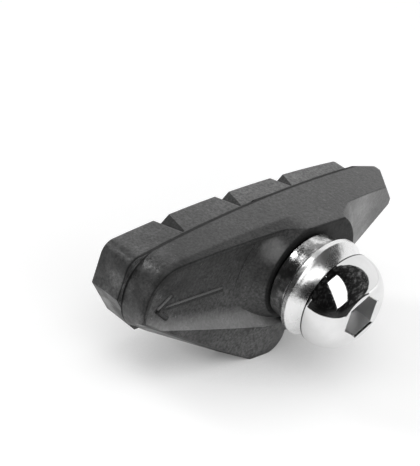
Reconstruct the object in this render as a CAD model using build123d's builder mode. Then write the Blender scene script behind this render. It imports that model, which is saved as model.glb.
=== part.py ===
"""Bicycle rim brake pad: one moulded rubber block on a threaded stud, with a thick washer and a domed nut.

Frame: origin on the stud's axis at the seat where the brake arm clamps. X runs along the pad, with the
leading end at -X. The friction face looks along +Y, the stud points along -Y, and Z points to the tyre side.
Depths are measured outward from the friction face, in millimetres.
"""

import os
from math import asin, pi, radians, sqrt, tan

from build123d import *

# Depths outward from the friction face
STEP_LEADING_DEPTH = 4.55
STEP_TRAILING_DEPTH = 1.75
RIDGE_END_DEPTH = 8.6
TAIL_BOSS_DEPTH = 9.1
TAIL_END_DEPTH = 7.1
BOSS_FACE_DEPTH = 10.8

# Carrier outline, bent round the wheel
CARRIER_LENGTH = 47.9
CARRIER_HEIGHT = 12.2
CARRIER_CENTRE_X = -1.75
CARRIER_TOP = 6.45
CARRIER_LEADING_CORNER = 4.4
CARRIER_TRAILING_CORNER = 1.6
CARRIER_BOTTOM_CORNER = 7.2
TOP_RADIUS = 200.0
CREST_X = -0.75
LEAST_EDGE = 0.1

# Friction block, thicker at its leading end
FRICTION_LEADING_X = -25.9
FRICTION_TRAILING_X = 17.5
FRICTION_TOP = 6.1
FRICTION_BOTTOM = -5.3
FLANK_DRAFT = 0.2
TOP_CORNER = 1.6
BOTTOM_CORNER = 5.0
BEVEL_WIDTH = 5.6
BEVEL_HEIGHT = 6.2

# Chevron grooves
GROOVE_COUNT = 3
GROOVE_PITCH = 10.3
GROOVE_MIDDLE_X = -5.3
GROOVE_WIDTH = 2.5
GROOVE_FLOOR_WIDTH = 0.3
GROOVE_FLOOR_COVER = 0.35
CHEVRON_SWEEP = 5.6

# Boss round the stud, its hollow foot, and the collar that stands in the scoop
BOSS_CENTRE = (1.4, -0.6)
BOSS_RADIUS = 8.3
BOSS_FLARE = 4.4
BOSS_EDGE = 0.4
COLLAR_CENTRE = (0.9, 0.0)
COLLAR_RADIUS = 6.5
COLLAR_FLARE = 4.0

# Tyre guide below the boss
GUIDE_END_X = 0.95
GUIDE_BOTTOM = -11.75
GUIDE_CORNER = 2.4
GUIDE_ROOT = (-21.7, -3.85)
GUIDE_TOE = (-4.9, -11.5)
GUIDE_UNDERSIDE_ANGLE = 24.5
GUIDE_RAMP_ANGLE = 45.0

# Tail, drawn in at its end, bevelled underneath and sloped at its shoulder
TAIL_INNER_DEPTH = 3.2
TAIL_END_INSET = 1.8
TAIL_KEEL = (17.2, -0.2)
TAIL_KEEL_RISE = 38.0
TAIL_UNDERSIDE_ANGLE = 66.0
TAIL_SHOULDER_X = 18.2
TAIL_SHOULDER_DROP = 2.2
TAIL_SHOULDER_INSET = 0.5

# Scooped panel on the leading half
RIDGE_BOSS_X = -4.0
SCOOP_END_DEPTH = 8.5
SCOOP_STUD_DEPTH = 9.7
SCOOP_BOTTOM = -7.9
SCOOP_FALL_ANGLE = 8.8
SCOOP_FOOT_FILLET = 3.0
PANEL_LIP = 0.6
PANEL_RECESS = 0.5

# Stud
FLANGE_THICKNESS = 2.9
FLANGE_RADIUS = 5.7
FLANGE_CHAMFER = 0.5
NECK_RADIUS = 3.6
NECK_LENGTH = 3.0
HEAD_RADIUS = 5.0
HEAD_THICKNESS = 1.6
THREAD_RADIUS = 3.0
THREAD_LENGTH = 4.1
THREAD_CHAMFER = 0.6

# Washer
WASHER_RADIUS = 6.6
WASHER_THICKNESS = 3.1
WASHER_RIM = 1.1
WASHER_RIM_CHAMFER = 0.25
WASHER_SHOULDER_RADIUS = 5.3

# Domed nut
NUT_RADIUS = 6.2
NUT_HEIGHT = 4.3
NUT_EDGE = 0.4
NUT_CROWN_RADIUS = 3.4
SLEEVE_RADIUS = 4.0
SLEEVE_LENGTH = 2.6
HEX_KEY = 5.0
HEX_DEPTH = 2.8
HEX_TURN = 30.0
HEX_LEAD_IN = 0.2

# Clearances
THREAD_CLEARANCE = 0.1
SLEEVE_CLEARANCE = 0.2

# Reach of a cut past the material it removes
OVERSHOOT = 5.0

# Places worked out from the sizes
FACE_TO_SEAT = BOSS_FACE_DEPTH + FLANGE_THICKNESS
CARRIER_LEADING_X = CARRIER_CENTRE_X - CARRIER_LENGTH / 2
CARRIER_TRAILING_X = CARRIER_CENTRE_X + CARRIER_LENGTH / 2
CARRIER_BOTTOM = CARRIER_TOP - CARRIER_HEIGHT
WHEEL_CENTRE = (CREST_X, CARRIER_TOP - TOP_RADIUS)
TAIL_END_X = CARRIER_TRAILING_X - TAIL_END_INSET
TAIL_SLOPE = (TAIL_END_DEPTH - TAIL_BOSS_DEPTH) / (TAIL_END_X - BOSS_CENTRE[0])
SCOOP_SLOPE = (SCOOP_END_DEPTH - SCOOP_STUD_DEPTH) / CARRIER_LEADING_X
BOSS_PARTING_X = BOSS_CENTRE[0] + BOSS_RADIUS / 4
COLLAR_FOOT_RADIUS = COLLAR_RADIUS + COLLAR_FLARE
COLLAR_FOOT_X = COLLAR_CENTRE[0] - COLLAR_FOOT_RADIUS
COLLAR_FOOT_DEPTH = SCOOP_STUD_DEPTH - PANEL_RECESS + SCOOP_SLOPE * COLLAR_FOOT_X
NUT_BASE_Y = -WASHER_THICKNESS
NUT_CROWN_Y = NUT_BASE_Y - NUT_HEIGHT
HEX_FLOOR_Y = NUT_CROWN_Y + HEX_DEPTH


def outward(depth):
    """Plane across the stud at a depth, with X to the right, Z up and its normal outward."""
    return Plane.XZ.offset(depth - FACE_TO_SEAT)


def depth_y(depth):
    """Y coordinate of a depth."""
    return FACE_TO_SEAT - depth


def arc_drop(x):
    """Fall of the wheel's curve below its crest."""
    return TOP_RADIUS - sqrt(TOP_RADIUS**2 - (x - CREST_X) ** 2)


def step_depth(x):
    """Depth of the carrier's inner face, where the friction block stands on it."""
    share = (x - CARRIER_LEADING_X) / CARRIER_LENGTH
    return STEP_LEADING_DEPTH + share * (STEP_TRAILING_DEPTH - STEP_LEADING_DEPTH)


def tail_depth(x):
    """Depth of the tail's outer face, falling from the boss to the trailing end."""
    return TAIL_BOSS_DEPTH + TAIL_SLOPE * (x - BOSS_CENTRE[0])


def bent_outline(depth, leading, trailing, top, bottom, leading_corner, trailing_corner, bottom_corner):
    """Long outline whose top and bottom edges follow the wheel, with rounded corners."""
    middle = (leading + trailing) / 2
    lean = asin((CREST_X - leading) / TOP_RADIUS)
    upper_reach = leading_corner * tan(pi / 4 - lean / 2)
    lower_room = (top - bottom - LEAST_EDGE - upper_reach) / tan(pi / 4 + lean / 2)
    with BuildSketch(outward(depth)) as outline:
        with BuildLine():
            ThreePointArc(*[(x, bottom - arc_drop(x)) for x in (leading, middle, trailing)])
            Line((trailing, bottom - arc_drop(trailing)), (trailing, top - arc_drop(trailing)))
            ThreePointArc(*[(x, top - arc_drop(x)) for x in (trailing, middle, leading)])
            Line((leading, top - arc_drop(leading)), (leading, bottom - arc_drop(leading)))
        make_face()
        fillet(outline.vertices().sort_by(Axis.Y)[:2], min(bottom_corner, lower_room))
        fillet(outline.vertices().sort_by(Axis.Y)[-2:].sort_by(Axis.X)[-1], trailing_corner)
        fillet(outline.vertices().sort_by(Axis.X)[:2].sort_by(Axis.Y)[-1], leading_corner)
    return outline.sketch


def carrier_outline(inset, bottom):
    """Outline of the carrier, drawn in from its edge by the inset, down to a bottom edge."""
    return bent_outline(
        0,
        CARRIER_LEADING_X + inset,
        CARRIER_TRAILING_X - inset,
        CARRIER_TOP - inset,
        bottom,
        CARRIER_LEADING_CORNER - inset,
        CARRIER_TRAILING_CORNER - inset,
        CARRIER_BOTTOM_CORNER - inset,
    )


def friction_outline(depth, grow):
    """Outline of the friction block, let out from its face by the growth."""
    return bent_outline(
        depth,
        FRICTION_LEADING_X - grow,
        FRICTION_TRAILING_X + grow,
        FRICTION_TOP + grow,
        FRICTION_BOTTOM - grow,
        TOP_CORNER + grow,
        TOP_CORNER + grow,
        BOTTOM_CORNER + grow,
    )


def chevron(depth, x, width):
    """Outline of one groove across the friction face, a chevron with its point to the leading end."""
    half = width / 2
    middle = (FRICTION_TOP + FRICTION_BOTTOM) / 2
    rise = FRICTION_TOP - middle
    slope = CHEVRON_SWEEP / rise
    point = x - CHEVRON_SWEEP
    end = x + slope * OVERSHOOT
    with BuildSketch(outward(depth)) as outline:
        with BuildLine():
            Polyline(
                (end - half, middle + rise + OVERSHOOT),
                (point - half, middle),
                (end - half, middle - rise - OVERSHOOT),
                (end + half, middle - rise - OVERSHOOT),
                (point + half, middle),
                (end + half, middle + rise + OVERSHOOT),
                close=True,
            )
        make_face()
    return outline.sketch


def scoop_air(lowering):
    """Air outside the panel: over a sloped floor, rounded up from the ledge along its foot."""
    foot = Vector(0, depth_y(SCOOP_STUD_DEPTH - lowering), SCOOP_BOTTOM)
    along = Vector(-1, SCOOP_SLOPE, tan(radians(SCOOP_FALL_ANGLE)))
    with BuildPart() as air:
        with BuildSketch(Plane(origin=foot, x_dir=(0, -1, 0), z_dir=along)) as section:
            Rectangle(BOSS_FACE_DEPTH, 2 * CARRIER_HEIGHT, align=(Align.MIN, Align.MIN))
            fillet(section.vertices().sort_by_distance((0, 0, 0))[0], SCOOP_FOOT_FILLET)
        extrude(amount=CARRIER_LENGTH)
    return air.part


def boss_side(centre, side, radius, foot_radius, foot_depth, edge_depth):
    """One side of a round boss with a hollow flare to its foot, inside the outline of carrier and guide."""
    foot_y = depth_y(foot_depth)
    edge_y = depth_y(edge_depth)
    with BuildPart() as boss:
        with BuildSketch(Plane.XY):
            with BuildLine():
                Polyline((radius, edge_y), (0, edge_y), (0, foot_y + BOSS_EDGE))
                Polyline((0, foot_y + BOSS_EDGE), (foot_radius, foot_y + BOSS_EDGE), (foot_radius, foot_y))
                TangentArc((foot_radius, foot_y), (radius, edge_y), tangent=(-1, 0))
            make_face()
        revolve(axis=Axis.Y)
    with BuildPart() as trimmed:
        with Locations((centre[0], 0, centre[1])):
            add(boss.part)
        add(prism.part, mode=Mode.INTERSECT)
        split(bisect_by=Plane.YZ.offset(BOSS_PARTING_X), keep=side)
    return trimmed.part


# Carrier and tyre guide as one prism
with BuildPart() as prism:
    extrude(carrier_outline(0, CARRIER_BOTTOM), amount=BOSS_FACE_DEPTH)
    guide_start_x = GUIDE_ROOT[0]
    with BuildSketch(outward(0)) as guide:
        with BuildLine():
            Polyline(
                (guide_start_x, 0),
                (guide_start_x, GUIDE_BOTTOM),
                (GUIDE_END_X, GUIDE_BOTTOM),
                (GUIDE_END_X, 0),
                close=True,
            )
        make_face()
        fillet(guide.vertices().sort_by(Axis.Y)[:2].sort_by(Axis.X)[-1], GUIDE_CORNER)
    extrude(amount=BOSS_FACE_DEPTH)

# Scoop of the panel, and its recess inside a thin lip along the carrier's edge
scoop = scoop_air(0)
deep_scoop = scoop_air(PANEL_RECESS)
with BuildPart() as recess:
    extrude(carrier_outline(PANEL_LIP, GUIDE_BOTTOM), amount=FACE_TO_SEAT + OVERSHOOT)
    add(deep_scoop, mode=Mode.INTERSECT)

# Friction block: flanks drawn in towards the face, and a bevel under the leading end
with BuildPart() as block:
    loft([friction_outline(0, 0), friction_outline(STEP_LEADING_DEPTH, FLANK_DRAFT)])
    bevel_x = FRICTION_LEADING_X - FLANK_DRAFT
    bevel_z = FRICTION_BOTTOM - FLANK_DRAFT - arc_drop(bevel_x)
    with BuildSketch(outward(0)):
        with BuildLine():
            Polyline(
                (bevel_x, bevel_z),
                (bevel_x + BEVEL_WIDTH, bevel_z),
                (bevel_x, bevel_z + BEVEL_HEIGHT),
                close=True,
            )
        make_face()
    extrude(amount=STEP_LEADING_DEPTH, mode=Mode.SUBTRACT)

# Air under the tail: its underside rises outward and towards the trailing end
with BuildPart() as tail_air:
    keel = Vector(TAIL_KEEL[0], depth_y(tail_depth(TAIL_KEEL[0])), TAIL_KEEL[1])
    keel_line = Vector(1, -TAIL_SLOPE, tan(radians(TAIL_KEEL_RISE)))
    keel_inward = Vector(0, 1, -tan(radians(TAIL_UNDERSIDE_ANGLE)))
    keel_start = (BOSS_CENTRE[0] + BOSS_RADIUS / 2 - TAIL_KEEL[0]) * keel_line.length
    with BuildSketch(Plane(origin=keel, x_dir=keel_line, z_dir=keel_inward.cross(keel_line))):
        with Locations((keel_start, 0)):
            Rectangle(CARRIER_LENGTH, 2 * CARRIER_LENGTH, align=(Align.MIN, Align.CENTER))
    extrude(amount=CARRIER_LENGTH)

# Air over the tail's shoulder, which falls to the trailing end
with BuildPart() as shoulder_air:
    shoulder_y = depth_y(tail_depth(TAIL_SHOULDER_X))
    shoulder = Vector(TAIL_SHOULDER_X, shoulder_y, CARRIER_TOP - arc_drop(TAIL_SHOULDER_X))
    end_z = CARRIER_TOP - arc_drop(TAIL_END_X) - TAIL_SHOULDER_DROP
    along_end = Vector(TAIL_END_X, depth_y(TAIL_END_DEPTH), end_z) - shoulder
    corner_x = CARRIER_TRAILING_X - TAIL_SHOULDER_INSET
    to_corner = Vector(corner_x, depth_y(TAIL_INNER_DEPTH), CARRIER_TOP - arc_drop(corner_x)) - shoulder
    with BuildSketch(Plane(origin=shoulder, x_dir=along_end, z_dir=along_end.cross(to_corner))):
        Rectangle(CARRIER_LENGTH, CARRIER_LENGTH)
    extrude(amount=CARRIER_LENGTH)

# Flared boss on the tail, and the collar that stands in the scoop
tail_foot_radius = BOSS_RADIUS + BOSS_FLARE
tail_foot_depth = tail_depth(BOSS_CENTRE[0] + tail_foot_radius)
tail_boss = boss_side(
    BOSS_CENTRE, Keep.TOP, BOSS_RADIUS, tail_foot_radius, tail_foot_depth, BOSS_FACE_DEPTH - BOSS_EDGE
)
collar = boss_side(
    COLLAR_CENTRE, Keep.BOTTOM, COLLAR_RADIUS, COLLAR_FOOT_RADIUS, COLLAR_FOOT_DEPTH, BOSS_FACE_DEPTH
)

# Rubber block, moulded in one
with BuildPart() as pad:
    add(prism.part)

    # Depth along the pad: out to the boss from the leading end, then back along the tail
    leading_x = CARRIER_LEADING_X
    trailing_x = CARRIER_TRAILING_X
    with BuildSketch(Plane.XY.offset(-CARRIER_LENGTH)):
        with BuildLine():
            Polyline(
                (leading_x, depth_y(STEP_LEADING_DEPTH)),
                (leading_x, depth_y(RIDGE_END_DEPTH)),
                (RIDGE_BOSS_X, depth_y(BOSS_FACE_DEPTH)),
                (BOSS_CENTRE[0], depth_y(BOSS_FACE_DEPTH)),
                (BOSS_CENTRE[0], depth_y(TAIL_BOSS_DEPTH)),
                (TAIL_END_X, depth_y(TAIL_END_DEPTH)),
                (trailing_x, depth_y(TAIL_INNER_DEPTH)),
                (FRICTION_TRAILING_X, depth_y(step_depth(FRICTION_TRAILING_X))),
                close=True,
            )
        make_face()
    extrude(amount=2 * CARRIER_LENGTH, mode=Mode.INTERSECT)

    # Tail's underside and shoulder, and the boss, flush with the carrier along the top
    add(tail_boss)
    add(tail_air.part, mode=Mode.SUBTRACT)
    add(shoulder_air.part, mode=Mode.SUBTRACT)
    boss_root = step_depth(GUIDE_END_X)
    with BuildSketch(outward(boss_root)):
        with Locations(BOSS_CENTRE):
            Circle(BOSS_RADIUS)
        with Locations(WHEEL_CENTRE):
            Circle(TOP_RADIUS, mode=Mode.INTERSECT)
    extrude(amount=BOSS_FACE_DEPTH - boss_root)

    # Scooped panel, with the collar standing in it
    add(scoop, mode=Mode.SUBTRACT)
    add(recess.part, mode=Mode.SUBTRACT)
    add(collar)

    # Underside of the guide, rising outward
    toe = Vector(GUIDE_TOE[0], depth_y(BOSS_FACE_DEPTH), GUIDE_TOE[1])
    root = Vector(GUIDE_ROOT[0], depth_y(RIDGE_END_DEPTH), GUIDE_ROOT[1])
    inward = Vector(0, 1, -tan(radians(GUIDE_UNDERSIDE_ANGLE)))
    underside = Plane(origin=root, x_dir=toe - root, z_dir=inward.cross(toe - root))
    with BuildSketch(underside):
        Rectangle(4 * CARRIER_LENGTH, 4 * CARRIER_LENGTH)
    extrude(amount=CARRIER_LENGTH, mode=Mode.SUBTRACT)

    # Ramp that leads the tyre in under the friction block
    ramp_y = depth_y(boss_root)
    ramp_z = FRICTION_BOTTOM - FLANK_DRAFT - arc_drop(FRICTION_LEADING_X)
    ramp_drop = CARRIER_HEIGHT
    with BuildSketch(Plane.YZ.offset(leading_x - OVERSHOOT)):
        with BuildLine():
            Polyline(
                (ramp_y, ramp_z),
                (ramp_y - ramp_drop * tan(radians(GUIDE_RAMP_ANGLE)), ramp_z - ramp_drop),
                (ramp_y + OVERSHOOT, ramp_z - ramp_drop),
                (ramp_y + OVERSHOOT, ramp_z),
                close=True,
            )
        make_face()
    extrude(amount=CARRIER_LENGTH + 2 * OVERSHOOT, mode=Mode.SUBTRACT)

    # Friction block on the carrier's inner face
    add(block.part)

    # Chevron grooves, wide at the face and narrow at the floor
    for number in range(GROOVE_COUNT):
        groove_x = GROOVE_MIDDLE_X + (number - (GROOVE_COUNT - 1) / 2) * GROOVE_PITCH
        groove_depth = step_depth(groove_x) - GROOVE_FLOOR_COVER
        narrowing = (GROOVE_WIDTH - GROOVE_FLOOR_WIDTH) / groove_depth
        mouth = chevron(-1, groove_x, GROOVE_WIDTH + narrowing)
        floor = chevron(groove_depth, groove_x, GROOVE_FLOOR_WIDTH)
        loft([mouth, floor], ruled=True, mode=Mode.SUBTRACT)

    # Seat moulded round the stud's neck and head
    with BuildSketch(outward(BOSS_FACE_DEPTH)):
        Circle(NECK_RADIUS)
    extrude(amount=-NECK_LENGTH, mode=Mode.SUBTRACT)
    with BuildSketch(outward(BOSS_FACE_DEPTH - NECK_LENGTH)):
        Circle(HEAD_RADIUS)
    extrude(amount=-HEAD_THICKNESS, mode=Mode.SUBTRACT)

# Stud, turned in one: head in the rubber, neck, seat flange and thread
with BuildPart() as stud:
    flange_y = FLANGE_THICKNESS
    neck_y = flange_y + NECK_LENGTH
    head_y = neck_y + HEAD_THICKNESS
    with BuildSketch(Plane.XY):
        with BuildLine():
            Polyline(
                (0, head_y),
                (HEAD_RADIUS, head_y),
                (HEAD_RADIUS, neck_y),
                (NECK_RADIUS, neck_y),
                (NECK_RADIUS, flange_y),
                (FLANGE_RADIUS - FLANGE_CHAMFER, flange_y),
                (FLANGE_RADIUS, flange_y - FLANGE_CHAMFER),
                (FLANGE_RADIUS, FLANGE_CHAMFER),
                (FLANGE_RADIUS - FLANGE_CHAMFER, 0),
                (THREAD_RADIUS, 0),
                (THREAD_RADIUS, THREAD_CHAMFER - THREAD_LENGTH),
                (THREAD_RADIUS - THREAD_CHAMFER, -THREAD_LENGTH),
                (0, -THREAD_LENGTH),
                close=True,
            )
        make_face()
    revolve(axis=Axis.Y)

# Washer: a plain rim against the seat, then a hollow curve up to the nut
with BuildPart() as washer:
    bore = SLEEVE_RADIUS + SLEEVE_CLEARANCE
    with BuildSketch(Plane.XY):
        with BuildLine():
            Polyline(
                (bore, NUT_BASE_Y),
                (bore, 0),
                (WASHER_RADIUS - WASHER_RIM_CHAMFER, 0),
                (WASHER_RADIUS, -WASHER_RIM_CHAMFER),
                (WASHER_RADIUS, WASHER_RIM_CHAMFER - WASHER_RIM),
                (WASHER_RADIUS - WASHER_RIM_CHAMFER, -WASHER_RIM),
            )
            TangentArc(
                (WASHER_SHOULDER_RADIUS, NUT_BASE_Y),
                (WASHER_RADIUS - WASHER_RIM_CHAMFER, -WASHER_RIM),
                tangent=(0, 1),
            )
            Line((WASHER_SHOULDER_RADIUS, NUT_BASE_Y), (bore, NUT_BASE_Y))
        make_face()
    revolve(axis=Axis.Y)

# Domed nut: sleeve through the washer, tapped bore and hex socket
with BuildPart() as nut:
    bore = THREAD_RADIUS + THREAD_CLEARANCE
    sleeve_y = NUT_BASE_Y + SLEEVE_LENGTH
    with BuildSketch(Plane.XY):
        with BuildLine():
            Polyline(
                (0, NUT_CROWN_Y),
                (0, HEX_FLOOR_Y),
                (bore, HEX_FLOOR_Y),
                (bore, sleeve_y),
                (SLEEVE_RADIUS, sleeve_y),
                (SLEEVE_RADIUS, NUT_BASE_Y),
                (NUT_RADIUS, NUT_BASE_Y),
                (NUT_RADIUS, NUT_BASE_Y - NUT_EDGE),
            )
            TangentArc(
                (NUT_RADIUS, NUT_BASE_Y - NUT_EDGE),
                (NUT_CROWN_RADIUS, NUT_CROWN_Y),
                tangent=(0, -1),
            )
            Line((NUT_CROWN_RADIUS, NUT_CROWN_Y), (0, NUT_CROWN_Y))
        make_face()
    revolve(axis=Axis.Y)
    with BuildSketch(Plane.XZ.offset(-NUT_CROWN_Y)):
        RegularPolygon(HEX_KEY / 2, 6, major_radius=False, rotation=HEX_TURN)
    extrude(amount=-HEX_DEPTH, mode=Mode.SUBTRACT)
    mouth = nut.faces().sort_by(Axis.Y)[0].inner_wires()[0]
    chamfer(mouth.edges(), HEX_LEAD_IN)

os.makedirs("parts", exist_ok=True)
pad.part.label = "pad_rubber"
export_step(pad.part, "parts/pad_rubber.step")
stud.part.label = "stud"
export_step(stud.part, "parts/stud.step")
washer.part.label = "washer"
export_step(washer.part, "parts/washer.step")
nut.part.label = "dome_nut"
export_step(nut.part, "parts/dome_nut.step")
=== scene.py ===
"""Looks of a bicycle rim brake pad: moulded rubber, plated washer and domed nut on a pale floor."""

import math

import bpy
from mathutils import Matrix, Vector
from mathutils.bvhtree import BVHTree


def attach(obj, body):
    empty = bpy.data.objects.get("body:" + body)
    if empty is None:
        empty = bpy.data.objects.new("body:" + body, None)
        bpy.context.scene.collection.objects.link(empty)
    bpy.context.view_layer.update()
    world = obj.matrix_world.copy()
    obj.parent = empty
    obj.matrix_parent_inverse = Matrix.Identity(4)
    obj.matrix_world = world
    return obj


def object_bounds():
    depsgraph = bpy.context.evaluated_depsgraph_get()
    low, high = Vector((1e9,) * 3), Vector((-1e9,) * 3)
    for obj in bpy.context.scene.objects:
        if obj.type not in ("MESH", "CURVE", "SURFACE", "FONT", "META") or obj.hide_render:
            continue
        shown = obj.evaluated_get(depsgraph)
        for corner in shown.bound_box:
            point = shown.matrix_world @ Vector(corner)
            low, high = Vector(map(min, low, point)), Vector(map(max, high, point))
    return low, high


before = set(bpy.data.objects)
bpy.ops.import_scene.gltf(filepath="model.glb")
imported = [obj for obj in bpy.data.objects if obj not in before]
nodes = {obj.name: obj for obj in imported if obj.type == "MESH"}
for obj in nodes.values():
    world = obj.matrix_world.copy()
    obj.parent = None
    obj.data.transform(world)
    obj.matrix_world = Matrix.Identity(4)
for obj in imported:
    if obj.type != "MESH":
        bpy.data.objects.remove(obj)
cad_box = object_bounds()
scene = bpy.context.scene
scene.view_settings.view_transform = "Standard"

MM = 0.001


def mm(*values):
    """Lengths in metres of values in millimetres."""
    return tuple(value * MM for value in values)


# Picture frame and camera pose: angles in degrees, the target's place in pixels off the centre
IMAGE_WIDTH = 420
FOCAL_PX = 4150.0
SENSOR_MM = 36.0
CAMERA_AZIMUTH = -58.7
CAMERA_ELEVATION = 30.0
CAMERA_ROLL = 19.2
CAMERA_DISTANCE = 0.5
CAMERA_CLIP = (0.01, 20.0)
TARGET = Vector(mm(0.0, -3.1, 0.0))
TARGET_RIGHT_PX = 126.0
TARGET_DOWN_PX = 65.0

# Part, as in the CAD model. Depths count from the friction face
FACE_Y = 13.7 * MM
LEADING_X = -25.7 * MM
TRAILING_X = 22.2 * MM
STEP_LEADING = 4.55 * MM
STEP_SLOPE = -0.0585
PANEL_DEPTH = 7.6 * MM
BOSS_DEPTH = 10.8 * MM
BOSS_CENTRE = mm(1.4, -0.6)
FLARE_RADIUS = 12.0 * MM
NUT_BASE_Y = -3.1 * MM
CROWN_Y = -7.4 * MM
SOCKET_RADIUS = 2.95 * MM
THREAD_RADIUS = 3.05 * MM

# Spans over which the rubber's masks rise or fall: lengths in metres, facings as parts of one
STEP_BLEND = mm(-0.08, 0.08)
# Width of the painted shadow line at the step and of the painted light on its ledge
LINE_WIDTH = mm(0.12, 0.42)
LEDGE_FACING = (0.5, 0.8)
PANEL_EDGE = (PANEL_DEPTH - 0.3 * MM, PANEL_DEPTH + 0.3 * MM)
PANEL_END = mm(-4.0, 1.0)
# Where the painted shade round the panel's rim lies
OUTLINE_EDGE = (0.01, 0.22)
OUTLINE_FOOT = mm(-4.0, -2.0)
# Where the painted light on the panel's foot lies
FOOT_TOP = mm(0.0, 3.0)
FOOT_FACING = (0.05, 0.75)
# Where the painted shadow on the boss's face begins
BOSS_EDGE = (BOSS_DEPTH - 0.4 * MM, BOSS_DEPTH - 0.12 * MM)
GUIDE_TOP = mm(-7.5, -6.0)
# Where the painted highlight on the flare lies
FLARE_INNER = mm(-2.6, -0.2)
FLARE_OUTER = mm(0.3, 5.0)
FLARE_START = mm(7.0, 10.0)
FLARE_FACING = (0.3, 0.6)
FLARE_DEPTH = mm(6.6, 7.0)
# Where the painted shade on the groove walls lies
GROOVE_FACING = (0.35, 0.6)
GROOVE_FIRST = (LEADING_X + 4.0 * MM, LEADING_X + 6.0 * MM)
GROOVE_LAST = (TRAILING_X - 5.0 * MM, TRAILING_X - 3.0 * MM)
COLLAR_DEPTH = mm(8.0, 8.6)
# Where the painted highlight and the painted shadow on the collar lie
COLLAR_HIGHLIGHT_CENTRE = mm(-5.6, 4.1)
COLLAR_HIGHLIGHT_RADIUS = mm(0.5, 2.2)
COLLAR_SHADOW_CENTRE = mm(-6.3, 0.8)
COLLAR_SHADOW_RADIUS = mm(0.5, 2.6)
# Where the painted shade at the friction block's leading corner lies
CORNER_END = (LEADING_X + 0.3 * MM, LEADING_X + 2.0 * MM)
CORNER_TOP = mm(1.2, 3.2)
WORN_EDGE = (0.01, 0.16)
HANDLED_END = (LEADING_X + 2.0 * MM, LEADING_X + 9.0 * MM)
SHADED_END = (LEADING_X, LEADING_X + 18.0 * MM)
# Runs of the painted light towards the trailing end and of the painted light and shade on the panel
TRAILING_LIGHT_RUN = (LEADING_X, TRAILING_X)
PANEL_SHADE_RISE = mm(-4.0, 4.0)

# Rubber: scale per metre, detail and roughness of its noises, and the spans that are used of them
MOTTLE = (420.0, 6.0, 0.62)
SPECK = (2900.0, 3.0, 0.7)
DUST = (130.0, 4.0, 0.55)
LINT = (2100.0, 1.0, 0.4)
SMUDGE = (300.0, 3.0, 0.5)
GRAIN = (1900.0, 3.0, 0.5)
MIDDLE_SPAN = (0.3, 0.7)
DUST_SPAN = (0.35, 0.7)
FLARE_PATCH_SPAN = (0.3, 0.6)
LINT_SPAN = (0.70, 0.80)
SMUDGE_SPAN = (0.36, 0.66)
OPEN_SPAN = (0.4, 0.95)

# Rubber: tones as reflectance, and factors on them from one end of a span to the other
FRICTION_TONE = 0.056
CARRIER_TONE = 0.037
MARK_SHADE = 0.5
WORN_TONE = 0.014
LINT_TONE = 0.05
# Painted light: a lit foot of the panel, a painted highlight on the flare and one on the collar
PAINTED_LIGHT_TONES = {"foot_painted_light": 0.2, "flare_painted_highlight": 0.17, "collar_painted_highlight": 0.13}
# Painted shade and shadow: round the panel's rim, on groove walls, at the leading corner, on the
# collar, on the boss's face, and a line at the step
PAINTED_SHADE_FACTORS = {
    "panel_rim_painted_shade": 0.3,
    "groove_painted_shade": 0.3,
    "corner": 0.35,
    "collar_painted_shadow": 0.4,
    "boss_painted_shadow": 0.3,
    "line": 0.15,
}
# Painted light: lighter towards the trailing end; the carrier takes it to a lower power
TRAILING_LIGHT_FACTORS = (0.95, 1.85)
CARRIER_TRAILING_LIGHT = 0.1
SHADED_FACTORS = (0.78, 1.0)
SMUDGE_FACTORS = (0.55, 1.5)
MOTTLE_FACTORS = (0.78, 1.25)
SPECK_FACTORS = (0.48, 1.66)
DUST_FACTORS = (0.90, 1.16)
# Painted light and shade on the panel, from its foot to its top
PANEL_SHADE_FACTORS = (1.6, 0.82)
# Painted shade in crevices, and painted light on the step's ledge
CREVICE_SHADE_FACTORS = (0.3, 1.0)
LEDGE_PAINTED_LIGHT = 1.5
FLARE_FADE = (1.0, 0.25)
FLARE_PATCHES = (0.5, 1.2)
COLLAR_HIGHLIGHT_PATCHES = (0.7, 1.25)
COLLAR_SHADOW_PATCHES = (1.0, 0.7)

# Rubber: roughness, what each place adds to it, and the surface
FRICTION_ROUGH = 0.40
CARRIER_ROUGH = 0.33
MOTTLE_ROUGH = (-0.05, 0.07)
SMUDGE_ROUGH = (1.5, -1.0)
ROUGHER = {
    "rim": 0.09,
    "line": 0.4,
    "panel": 0.34,
    "panel_rim_painted_shade": 0.1,
    "boss_painted_shadow": 0.35,
    "groove_painted_shade": 0.3,
    "corner": 0.1,
}
RUBBER_SPECULAR = 0.5
EDGE_ROUNDING = 0.3 * MM
OUTLINE_ROUNDING = 0.8 * MM
CREVICE_REACH = 1.6 * MM
SPECK_HEIGHT = 0.7
GRAIN_STRENGTH = 0.55
GRAIN_HEIGHT = 0.06 * MM

# Plating: noises, spans used of them, tones and roughness
CLOUD = (240.0, 4.0)
FINE = (2600.0, 2.0)
STAIN = (700.0, 4.0, 0.6)
CLOUD_SPAN = (0.35, 0.75)
FINE_SPAN = (0.6, 0.8)
STAIN_SPAN = (0.42, 0.66)
CLOUD_FACTORS = (0.93, 1.04)
CLOUD_ROUGH = 0.06
FINE_ROUGH = (0.0, 0.07)
BARE_FACTOR = 1.2
BARE_ROUGH = 0.27
BARE_BLEND = 0.1 * MM
BARE_DEPTH = (CROWN_Y + 0.02 * MM, CROWN_Y + 0.3 * MM)
# Painted shade in the seams, and a painted shade line round the foot of the nut
SEAM_REACH = 0.35 * MM
SEAM_SPAN = (0.45, 0.8)
SEAM_SHADE_FACTORS = (0.12, 1.0)
BASE_LINE = (NUT_BASE_Y - 0.24 * MM, NUT_BASE_Y - 0.14 * MM)
BASE_SHADE_FACTORS = (1.0, 0.1)
WAVE_HEIGHT = 0.3 * MM

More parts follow.
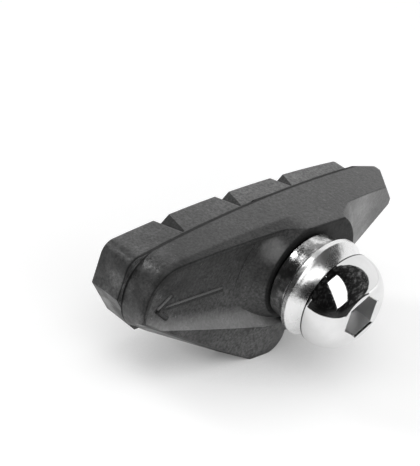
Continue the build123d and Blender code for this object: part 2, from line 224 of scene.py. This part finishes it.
# Moulded arrow, in millimetres: how deep its ridges are sunk, and their section
RIDGE_SUNK = -0.1
RIDGE_FOOT = 0.02
RIDGE_TOP = 0.62
STEM_STEPS = 24
BARB_STEPS = 8
CLEAR_OF_PAD = -40.0

# Stage: paper floor, white surroundings, and dark flags that only reflections show
FLOOR_Z = cad_box[0][2]
FLOOR_SIZE = 6.0
FLOOR_TONE = 0.62
FLOOR_ROUGH = 0.9
SHADOW_REACH = 16.0 * MM
SHADOW_SPAN = (0.1, 0.9)
FLOOR_GLOW = (0.1, 0.52)
WORLD_LEVELS = (0.35, 1.0)
WHITE = (1.0, 1.0, 1.0, 1.0)
FLAG_RADIUS = 1.2
FLAG_LEVEL = 0.016
FLAG_NOISE = (6.0, 4.0, 0.6)
FLAG_PATCH_SPAN = (0.45, 0.75)
FLAG_PATCHES = (FLAG_LEVEL * 0.5, FLAG_LEVEL * 4.0)
FLAG_SIDE = (-0.3, 0.8)
FLAG_SIDE_FACTORS = (0.6, 4.0)
CAP_AZIMUTH = -128.0
CAP_ELEVATION = 36.0
CAP_REACH = 79.0
CAP_RINGS = 16
CAP_TURNS = range(0, 361, 5)
CAP_FOOT_Z = FLOOR_Z - 0.5 * MM
GROUND_AZIMUTHS = range(-200, -44, 5)
GROUND_RADIUS = 41.0 * MM
GROUND_Z = FLOOR_Z + 0.05 * MM

SHADER_SAMPLES = 8


# Shader nodes
def add_node(tree, kind, **values):
    """Shader node with its properties and unlinked inputs set by name."""
    node = tree.nodes.new(kind)
    for key, value in values.items():
        if key in node.inputs:
            node.inputs[key].default_value = value
        else:
            setattr(node, key, value)
    return node


def math_node(tree, operation, first, second=0.0):
    """Math node on two sockets or numbers."""
    node = add_node(tree, "ShaderNodeMath", operation=operation)
    for slot, value in enumerate((first, second)):
        if isinstance(value, (int, float)):
            node.inputs[slot].default_value = value
        else:
            tree.links.new(value, node.inputs[slot])
    return node.outputs[0]


def add(tree, first, second):
    """Sum of two sockets or numbers."""
    return math_node(tree, "ADD", first, second)


def less(tree, first, second):
    """Difference of two sockets or numbers."""
    return math_node(tree, "SUBTRACT", first, second)


def product(tree, *factors):
    """Product of sockets or numbers."""
    result = factors[0]
    for factor in factors[1:]:
        result = math_node(tree, "MULTIPLY", result, factor)
    return result


def unsigned(tree, value):
    """Value without its sign."""
    return math_node(tree, "ABSOLUTE", value)


def ramp(tree, source, span, ends):
    """Smooth step from one end value to the other over a span."""
    node = add_node(tree, "ShaderNodeMapRange", interpolation_type="SMOOTHSTEP")
    tree.links.new(source, node.inputs["Value"])
    for name, value in zip(("From Min", "From Max", "To Min", "To Max"), (*span, *ends)):
        node.inputs[name].default_value = value
    return node.outputs["Result"]


def rise(tree, source, span):
    """Mask that rises from nought to one over a span."""
    return ramp(tree, source, span, (0.0, 1.0))


def fall(tree, source, span):
    """Mask that falls from one to nought over a span."""
    return ramp(tree, source, span, (1.0, 0.0))


def fade(tree, mask, off, on):
    """Value that is one number outside a mask and another inside it."""
    return ramp(tree, mask, (0.0, 1.0), (off, on))


def outside(tree, mask):
    """Mask of the places that another mask leaves out."""
    return fade(tree, mask, 1.0, 0.0)


def noise(tree, place, scale, detail, roughness=0.5):
    """Value of a noise texture over the object's own coordinates."""
    node = add_node(tree, "ShaderNodeTexNoise", Scale=scale, Detail=detail, Roughness=roughness)
    tree.links.new(place, node.inputs["Vector"])
    return node.outputs["Fac"]


def grey(tree, value):
    """Colour socket of one grey value."""
    node = tree.nodes.new("ShaderNodeCombineColor")
    for name in ("Red", "Green", "Blue"):
        tree.links.new(value, node.inputs[name])
    return node.outputs["Color"]


def split(tree, vector):
    """X, Y and Z of a vector."""
    node = tree.nodes.new("ShaderNodeSeparateXYZ")
    tree.links.new(vector, node.inputs["Vector"])
    return tuple(node.outputs[axis] for axis in "XYZ")


def radius_about(tree, first, second, centre=(0.0, 0.0)):
    """Distance of two coordinates from a centre."""
    squares = [
        math_node(tree, "POWER", less(tree, value, middle), 2.0)
        for value, middle in zip((first, second), centre)
    ]
    return math_node(tree, "SQRT", add(tree, *squares))


def surface_normal(tree):
    """Normal of the surface as it is."""
    return tree.nodes.new("ShaderNodeNewGeometry").outputs["Normal"]


def rounded_normal(tree, radius):
    """Normal of the surface with its edges rounded, and how near an edge the point is."""
    bevel = add_node(tree, "ShaderNodeBevel", samples=SHADER_SAMPLES, Radius=radius)
    dot = add_node(tree, "ShaderNodeVectorMath", operation="DOT_PRODUCT")
    tree.links.new(bevel.outputs["Normal"], dot.inputs[0])
    tree.links.new(surface_normal(tree), dot.inputs[1])
    return bevel.outputs["Normal"], less(tree, 1.0, dot.outputs["Value"])


def bump(tree, height, strength, distance, normal):
    """Bump of a height over a normal."""
    node = add_node(tree, "ShaderNodeBump", Strength=strength, Distance=distance)
    tree.links.new(height, node.inputs["Height"])
    tree.links.new(normal, node.inputs["Normal"])
    return node.outputs["Normal"]


def open_sky(tree, distance):
    """How open a point is: one in the open, towards nought deep in a crevice."""
    kind = "ShaderNodeAmbientOcclusion"
    return add_node(tree, kind, samples=SHADER_SAMPLES, Distance=distance).outputs["AO"]


def start_material(name):
    """New material with its tree, main shader and object coordinates."""
    material = bpy.data.materials.new(name)
    material.use_nodes = True
    tree = material.node_tree
    shader = tree.nodes["Principled BSDF"]
    place = tree.nodes.new("ShaderNodeTexCoord").outputs["Object"]
    return material, tree, shader, place


# Rubber
def rubber_masks(tree, place, noises, edge):
    """Masks of the pad's places by name, from coordinates, facing, edges and noises."""
    x, y, z = split(tree, place)
    facing_x, facing_y, facing_z = split(tree, surface_normal(tree))
    depth = less(tree, FACE_Y, y)
    slope = product(tree, less(tree, x, LEADING_X), STEP_SLOPE)
    past_step = less(tree, depth, add(tree, slope, STEP_LEADING))
    off_flare = less(tree, radius_about(tree, x, z, BOSS_CENTRE), FLARE_RADIUS)
    soft_edge = rounded_normal(tree, OUTLINE_ROUNDING)[1]

    # The step between friction block and carrier, with painted light on its ledge and a painted
    # shadow line along it
    carrier = rise(tree, past_step, STEP_BLEND)
    friction = outside(tree, carrier)
    at_step = fall(tree, unsigned(tree, past_step), LINE_WIDTH)
    level = rise(tree, unsigned(tree, facing_y), LEDGE_FACING)

    # The moulded panel, and the boss's face, which gets a painted shadow
    panel = product(tree, rise(tree, depth, PANEL_EDGE), fall(tree, x, PANEL_END))
    boss_painted_shadow = product(tree, rise(tree, z, GUIDE_TOP), rise(tree, depth, BOSS_EDGE))

    handled = fall(tree, x, HANDLED_END)
    return {
        "x": x,
        "z": z,
        # Painted light on the step's ledge, and a painted shadow line along the step
        "carrier": carrier,
        "ledge": product(tree, level, at_step),
        "line": product(tree, at_step, outside(tree, level)),
        "panel": panel,
        # Painted shade round the panel's rim, above its foot
        "panel_rim_painted_shade": product(
            tree,
            panel,
            rise(tree, z, OUTLINE_FOOT),
            rise(tree, soft_edge, OUTLINE_EDGE),
        ),
        # Painted light on the panel's foot, where it faces up
        "foot_painted_light": product(
            tree,
            panel,
            fall(tree, z, FOOT_TOP),
            rise(tree, facing_z, FOOT_FACING),
        ),
        "boss_painted_shadow": boss_painted_shadow,
        # Painted highlight on the flare, broken into patches
        "flare_painted_highlight": product(
            tree,
            rise(tree, off_flare, FLARE_INNER),
            ramp(tree, off_flare, FLARE_OUTER, FLARE_FADE),
            rise(tree, x, FLARE_START),
            rise(tree, unsigned(tree, facing_y), FLARE_FACING),
            rise(tree, depth, FLARE_DEPTH),
            ramp(tree, noises["dust"], FLARE_PATCH_SPAN, FLARE_PATCHES),
        ),
        # Painted shade on the groove walls
        "groove_painted_shade": product(
            tree,
            friction,
            rise(tree, unsigned(tree, facing_x), GROOVE_FACING),
            rise(tree, x, GROOVE_FIRST),
            fall(tree, x, GROOVE_LAST),
        ),
        # Painted highlight on the collar by the boss
        "collar_painted_highlight": product(
            tree,
            fall(tree, radius_about(tree, x, z, COLLAR_HIGHLIGHT_CENTRE), COLLAR_HIGHLIGHT_RADIUS),
            rise(tree, depth, COLLAR_DEPTH),
            outside(tree, boss_painted_shadow),
            ramp(tree, noises["mottle"], MIDDLE_SPAN, COLLAR_HIGHLIGHT_PATCHES),
        ),
        # Painted shadow of the boss and flange on the collar
        "collar_painted_shadow": product(
            tree,
            fall(tree, radius_about(tree, x, z, COLLAR_SHADOW_CENTRE), COLLAR_SHADOW_RADIUS),
            rise(tree, depth, COLLAR_DEPTH),
            ramp(tree, noises["mottle"], MIDDLE_SPAN, COLLAR_SHADOW_PATCHES),
        ),
        # Painted shade at the top of the friction block's leading end
        "corner": product(
            tree,
            friction,
            fall(tree, x, CORNER_END),
            rise(tree, z, CORNER_TOP),
        ),
        "worn": product(tree, rise(tree, edge, WORN_EDGE), outside(tree, panel)),
        "handled": handled,
        "rim": product(tree, handled, ramp(tree, noises["smudge"], SMUDGE_SPAN, SMUDGE_ROUGH)),
    }


def rubber_tone(tree, shade, noises, masks):
    """Grey value of the rubber: a lighter friction block, darker carrier, wear, dust, and painted
    light and shade.
    """
    carrier, x = masks["carrier"], masks["x"]
    # Painted light: lighter towards the trailing end, less so on the carrier
    trailing_painted_light = math_node(
        tree,
        "POWER",
        ramp(tree, x, TRAILING_LIGHT_RUN, TRAILING_LIGHT_FACTORS),
        fade(tree, carrier, 1.0, CARRIER_TRAILING_LIGHT),
    )
    smudged = math_node(
        tree,
        "POWER",
        ramp(tree, noises["smudge"], SMUDGE_SPAN, SMUDGE_FACTORS),
        masks["handled"],
    )
    # Painted light and shade on the panel: lighter at its foot, darker at its top
    panel_painted_shade = math_node(
        tree,
        "POWER",
        ramp(tree, masks["z"], PANEL_SHADE_RISE, PANEL_SHADE_FACTORS),
        masks["panel"],
    )
    tone = product(
        tree,
        fade(tree, carrier, FRICTION_TONE * shade, CARRIER_TONE * shade),
        trailing_painted_light,
        ramp(tree, x, SHADED_END, SHADED_FACTORS),
        smudged,
        ramp(tree, noises["mottle"], MIDDLE_SPAN, MOTTLE_FACTORS),
        ramp(tree, noises["speck"], MIDDLE_SPAN, SPECK_FACTORS),
        ramp(tree, noises["dust"], DUST_SPAN, DUST_FACTORS),
    )
    tone = add(tree, tone, product(tree, masks["worn"], WORN_TONE))
    tone = add(tree, tone, ramp(tree, noises["lint"], LINT_SPAN, (0.0, LINT_TONE)))
    tone = product(tree, tone, panel_painted_shade)
    # Painted light: the panel's lit foot and the highlights on the flare and the collar
    for name, more in PAINTED_LIGHT_TONES.items():
        tone = add(tree, tone, product(tree, masks[name], more))
    # Painted shade and shadow at the places of the table above
    for name, factor in PAINTED_SHADE_FACTORS.items():
        tone = product(tree, tone, fade(tree, masks[name], 1.0, factor))
    # Painted shade in crevices, from how open the surface is, and painted light on the step's ledge
    crevice_painted_shade = math_node(
        tree,
        "MAXIMUM",
        ramp(tree, open_sky(tree, CREVICE_REACH), OPEN_SPAN, CREVICE_SHADE_FACTORS),
        product(tree, masks["ledge"], LEDGE_PAINTED_LIGHT),
    )
    return product(tree, tone, crevice_painted_shade)


def rubber_roughness(tree, noises, masks):
    """Roughness of the rubber, which the moulded and handled places and those of painted shade
    raise.
    """
    rough = add(
        tree,
        ramp(tree, noises["mottle"], MIDDLE_SPAN, MOTTLE_ROUGH),
        fade(tree, masks["carrier"], FRICTION_ROUGH, CARRIER_ROUGH),
    )
    for name, more in ROUGHER.items():
        rough = add(tree, rough, product(tree, masks[name], more))
    return rough


def rubber_material(name, shade):
    """Moulded black rubber with a fine grain, its tones times a shade."""
    material, tree, shader, place = start_material(name)
    kinds = {"mottle": MOTTLE, "speck": SPECK, "dust": DUST, "lint": LINT, "smudge": SMUDGE}
    noises = {kind: noise(tree, place, *values) for kind, values in kinds.items()}
    normal, edge = rounded_normal(tree, EDGE_ROUNDING)
    masks = rubber_masks(tree, place, noises, edge)
    tone = grey(tree, rubber_tone(tree, shade, noises, masks))
    tree.links.new(tone, shader.inputs["Base Color"])
    tree.links.new(rubber_roughness(tree, noises, masks), shader.inputs["Roughness"])
    shader.inputs["Specular IOR Level"].default_value = RUBBER_SPECULAR
    height = add(tree, product(tree, noises["speck"], SPECK_HEIGHT), noise(tree, place, *GRAIN))
    grain = bump(tree, height, GRAIN_STRENGTH, GRAIN_HEIGHT, normal)
    tree.links.new(grain, shader.inputs["Normal"])
    return material


# Plated steel
def chrome_material(name, tone, dull, rounding, wave, hole, tarnish=0.0, shaded_base=False):
    """Plated turned steel: waves in the plating, dull spots, painted shade in the seams, tarnish if
    any.

    Within the radius of the hole, below the crown, it is bare and duller. A shaded base has a
    painted shade line round the foot of the nut.
    """
    material, tree, shader, place = start_material(name)
    normal = rounded_normal(tree, rounding)[0]
    cloud = noise(tree, place, *CLOUD)
    x, y, z = split(tree, place)
    inside = fall(tree, radius_about(tree, x, z), (hole, hole + BARE_BLEND))
    bare = product(tree, inside, rise(tree, y, BARE_DEPTH))
    shade = product(tree, ramp(tree, cloud, MIDDLE_SPAN, CLOUD_FACTORS), tone)
    if tarnish:
        stain = noise(tree, place, *STAIN)
        shade = product(tree, shade, ramp(tree, stain, STAIN_SPAN, (1.0 - tarnish, 1.0)))
    # Painted shade in the seams between parts, from how open the surface is
    shade = product(
        tree,
        shade,
        fade(tree, bare, 1.0, BARE_FACTOR),
        ramp(tree, open_sky(tree, SEAM_REACH), SEAM_SPAN, SEAM_SHADE_FACTORS),
    )
    # Painted shade line round the foot of the nut
    if shaded_base:
        shade = product(tree, shade, ramp(tree, y, BASE_LINE, BASE_SHADE_FACTORS))
    rough = add(
        tree,
        ramp(tree, cloud, CLOUD_SPAN, (dull, dull + CLOUD_ROUGH)),
        ramp(tree, noise(tree, place, *FINE), FINE_SPAN, FINE_ROUGH),
    )
    rough = add(tree, rough, product(tree, bare, BARE_ROUGH))
    tree.links.new(grey(tree, shade), shader.inputs["Base Color"])
    shader.inputs["Metallic"].default_value = 1.0
    tree.links.new(rough, shader.inputs["Roughness"])
    tree.links.new(bump(tree, cloud, wave, WAVE_HEIGHT, normal), shader.inputs["Normal"])
    return material


RUBBER = rubber_material("rubber_moulded", 1.0)
# The arrow's darker copy of the rubber: painted shade for its moulded ridges
RUBBER_SHADED_MARK = rubber_material("rubber_shaded_mark", MARK_SHADE)
CHROME = chrome_material(
    "chrome_bright",
    tone=0.76,
    dull=0.04,
    rounding=0.16 * MM,
    wave=0.07,
    hole=SOCKET_RADIUS,
    shaded_base=True,
)
CHROME_WASHER = chrome_material(
    "chrome_washer",
    tone=0.88,
    dull=0.26,
    rounding=0.14 * MM,
    wave=0.55,
    hole=0.0,
)
CHROME_STUD = chrome_material(
    "chrome_stud",
    tone=0.8,
    dull=0.2,
    rounding=0.1 * MM,
    wave=0.7,
    hole=THREAD_RADIUS,
    tarnish=0.66,
)

for name, material in {
    "pad_rubber": RUBBER,
    "stud": CHROME_STUD,
    "washer": CHROME_WASHER,
    "dome_nut": CHROME,
}.items():
    mesh = nodes[name].data
    mesh.materials.clear()
    mesh.materials.append(material)


# Moulded direction arrow on the panel
pad_tree = BVHTree.FromObject(nodes["pad_rubber"], bpy.context.evaluated_depsgraph_get())


def new_object(name, points, faces, material):
    """Mesh object of points and faces, in the scene."""
    mesh = bpy.data.meshes.new(name)
    mesh.from_pydata(points, [], faces)
    mesh.validate()
    mesh.materials.append(material)
    piece = bpy.data.objects.new(name, mesh)
    scene.collection.objects.link(piece)
    return piece


def on_panel(x, z, lift):
    """Point over the outer face of the pad at X and Z, in millimetres, lifted off it."""
    start = Vector(mm(x, CLEAR_OF_PAD, z))
    place, normal, _, _ = pad_tree.ray_cast(start, Vector((0.0, 1.0, 0.0)))
    return place + normal * lift * MM


def ridge(start, end, half, height, steps):
    """Points and faces of one straight moulded ridge with sloped sides, laid over the panel."""
    along = (end - start).normalized()
    across = Vector((-along.y, along.x))
    section = ((half, RIDGE_SUNK), (half, RIDGE_FOOT), (half * RIDGE_TOP, height))
    section = [(-side, lift) for side, lift in section] + list(section[::-1])
    points = []
    for step in range(steps + 1):
        middle = start.lerp(end, step / steps)
        for side, lift in section:
            spot = middle + across * side
            points.append(on_panel(spot.x, spot.y, lift))
    count = len(section)
    faces = [tuple(range(count)), tuple(range(steps * count, (steps + 1) * count))[::-1]]
    for step in range(steps):
        for place in range(count):
            a = step * count + place
            b = step * count + (place + 1) % count
            faces.append((b, a, a + count, b + count))
    return points, faces


def arrow(name, tip, tail, barb, spread, half, height):
    """Moulded arrow of a stem and two barbs, in millimetres of X and Z and degrees."""
    tip, tail = Vector(tip), Vector(tail)
    back = (tail - tip).normalized() * barb
    strokes = [(tip, tail, STEM_STEPS)]
    for sign in (1, -1):
        turn = Matrix.Rotation(math.radians(sign * spread), 2)
        strokes.append((tip, tip + turn @ back, BARB_STEPS))
    points, faces = [], []
    for start, end, steps in strokes:
        part_points, part_faces = ridge(start, end, half, height, steps)
        faces += [tuple(i + len(points) for i in face) for face in part_faces]
        points += part_points
    piece = new_object(name, points, faces, RUBBER_SHADED_MARK)
    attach(piece, "root")


arrow(
    "moulded_arrow",
    tip=(-23.0, -0.9),
    tail=(-12.0, -0.5),
    barb=2.6,
    spread=38.0,
    half=0.34,
    height=0.28,
)


# Floor and world
def seen_directly(tree):
    """One for camera, glossy and transmission rays, nought for the rest."""
    path = tree.nodes.new("ShaderNodeLightPath").outputs
    seen = math_node(tree, "MAXIMUM", path["Is Camera Ray"], path["Is Glossy Ray"])
    return math_node(tree, "MAXIMUM", seen, path["Is Transmission Ray"])


def floor_material():
    """Matt white paper with a white glow that a painted contact shadow dims near the object; its
    soft cast shadow is kept.
    """
    material, tree, shader, _ = start_material("floor_paper")
    shader.inputs["Base Color"].default_value = (FLOOR_TONE, FLOOR_TONE, FLOOR_TONE, 1.0)
    shader.inputs["Roughness"].default_value = FLOOR_ROUGH
    shader.inputs["Specular IOR Level"].default_value = 0.0
    shader.inputs["Emission Color"].default_value = WHITE
    # Painted contact shadow: the glow dims where the object closes the floor in
    glow_under_painted_shadow = ramp(tree, open_sky(tree, SHADOW_REACH), SHADOW_SPAN, FLOOR_GLOW)
    tree.links.new(product(tree, seen_directly(tree), glow_under_painted_shadow), shader.inputs["Emission Strength"])
    return material


floor_corners = [
    (x * FLOOR_SIZE / 2, y * FLOOR_SIZE / 2, FLOOR_Z)
    for x, y in ((-1, -1), (1, -1), (1, 1), (-1, 1))
]
new_object("floor", floor_corners, [(0, 1, 2, 3)], floor_material())

# The world is white where it is seen, and dimmer as fill light
world = bpy.data.worlds.new("studio")
world.use_nodes = True
scene.world = world
background = world.node_tree.nodes["Background"]
background.inputs["Color"].default_value = WHITE
strength = fade(world.node_tree, seen_directly(world.node_tree), *WORLD_LEVELS)
world.node_tree.links.new(strength, background.inputs["Strength"])


# Dark flags round the stage
def flag_material(name):
    """Dark cloth, its uneven lighting painted as a faint glow."""
    material = bpy.data.materials.new(name)
    material.use_nodes = True
    tree = material.node_tree
    tree.nodes.clear()
    painted_glow = tree.nodes.new("ShaderNodeEmission")
    place = tree.nodes.new("ShaderNodeTexCoord").outputs["Object"]
    patches = ramp(tree, noise(tree, place, *FLAG_NOISE), FLAG_PATCH_SPAN, FLAG_PATCHES)
    lit_side = ramp(tree, split(tree, place)[0], FLAG_SIDE, FLAG_SIDE_FACTORS)
    tree.links.new(product(tree, patches, lit_side), painted_glow.inputs["Strength"])
    output = tree.nodes.new("ShaderNodeOutputMaterial")
    tree.links.new(painted_glow.outputs["Emission"], output.inputs["Surface"])
    return material


def flag(name, rows):
    """Dark flag through rows of points, which only glossy rays see."""
    count = len(rows[0])
    faces = []
    for row in range(len(rows) - 1):
        for place in range(count - 1):
            a = row * count + place
            faces.append((a, a + 1, a + count + 1, a + count))
    points = [point for row in rows for point in row]
    piece = new_object(name, points, faces, flag_material(name + "_cloth"))
    for kind in ("camera", "diffuse", "transmission", "volume_scatter", "shadow"):
        setattr(piece, "visible_" + kind, False)


def aim(azimuth, elevation=0.0):
    """Direction at an azimuth and an elevation, in degrees."""
    turn, lift = math.radians(azimuth), math.radians(elevation)
    level = math.cos(lift)
    return Vector((math.cos(turn) * level, math.sin(turn) * level, math.sin(lift)))


def cap_row(reach):
    """Ring of the round flag at an angle from its axis, cut off just below the floor."""
    axis = aim(CAP_AZIMUTH, CAP_ELEVATION)
    tilt = Matrix.Rotation(math.radians(reach), 3, aim(CAP_AZIMUTH + 90.0))
    row = []
    for turn in CAP_TURNS:
        spot = Matrix.Rotation(math.radians(turn), 3, axis) @ tilt @ axis * FLAG_RADIUS
        row.append((spot.x, spot.y, max(spot.z, CAP_FOOT_Z)))
    return row


def ground_row(radius):
    """Arc of the flag on the ground."""
    spots = [aim(azimuth) * radius for azimuth in GROUND_AZIMUTHS]
    return [(spot.x, spot.y, GROUND_Z) for spot in spots]


flag("flag_round", [cap_row(CAP_REACH * ring / CAP_RINGS) for ring in range(CAP_RINGS + 1)])
flag("flag_ground", [ground_row(radius) for radius in (GROUND_RADIUS, FLAG_RADIUS)])


# Soft lamps
def lamp(name, place, width, height, power, roll=0.0, mirrored=True):
    """Soft lamp that faces the object, rolled about its own axis, in metres, watts and degrees."""
    light = bpy.data.lights.new(name, "AREA")
    light.shape = "RECTANGLE"
    light.size = width
    light.size_y = height
    light.energy = power
    piece = bpy.data.objects.new(name, light)
    piece.location = place
    facing = (-Vector(place)).to_track_quat("-Z", "Y").to_matrix()
    facing = facing @ Matrix.Rotation(math.radians(roll), 3, "Z")
    piece.rotation_euler = facing.to_euler()
    piece.visible_glossy = mirrored
    scene.collection.objects.link(piece)


lamp("key", (-0.244, -0.28, 0.335), width=0.3, height=0.95, power=1.6, roll=40.0)
lamp("side", (0.4, -0.27, 0.05), width=0.2, height=0.2, power=1.2, mirrored=False)
lamp("left", (-0.45, 0.12, 0.2), width=0.2, height=0.2, power=0.3, mirrored=False)
lamp("hair", (-0.19, 0.31, 0.34), width=0.15, height=0.15, power=0.5)


# Camera: it stands on the line of sight to the target and is turned until the target is off centre
def place_camera():
    """Camera at the pose above."""
    angles = (CAMERA_AZIMUTH, CAMERA_ELEVATION, CAMERA_ROLL)
    azimuth, elevation, roll = (math.radians(angle) for angle in angles)
    back = Vector((
        math.sin(azimuth) * math.cos(elevation),
        -math.cos(azimuth) * math.cos(elevation),
        math.sin(elevation),
    ))
    level = Vector((math.cos(azimuth), math.sin(azimuth), 0.0))
    upright = back.cross(level)
    right = level * math.cos(roll) + upright * math.sin(roll)
    up = upright * math.cos(roll) - level * math.sin(roll)
    seen_back = (back * FOCAL_PX + right * TARGET_RIGHT_PX - up * TARGET_DOWN_PX).normalized()
    seen_right = (right - seen_back * right.dot(seen_back)).normalized()
    seen_up = seen_back.cross(seen_right)
    data = bpy.data.cameras.new("camera")
    data.sensor_fit = "HORIZONTAL"
    data.sensor_width = SENSOR_MM
    data.lens = FOCAL_PX / IMAGE_WIDTH * SENSOR_MM
    data.clip_start, data.clip_end = CAMERA_CLIP
    camera = bpy.data.objects.new("camera", data)
    turn = Matrix((seen_right, seen_up, seen_back)).transposed().to_4x4()
    camera.matrix_world = Matrix.Translation(TARGET + back * CAMERA_DISTANCE) @ turn
    scene.collection.objects.link(camera)
    scene.camera = camera


place_camera()
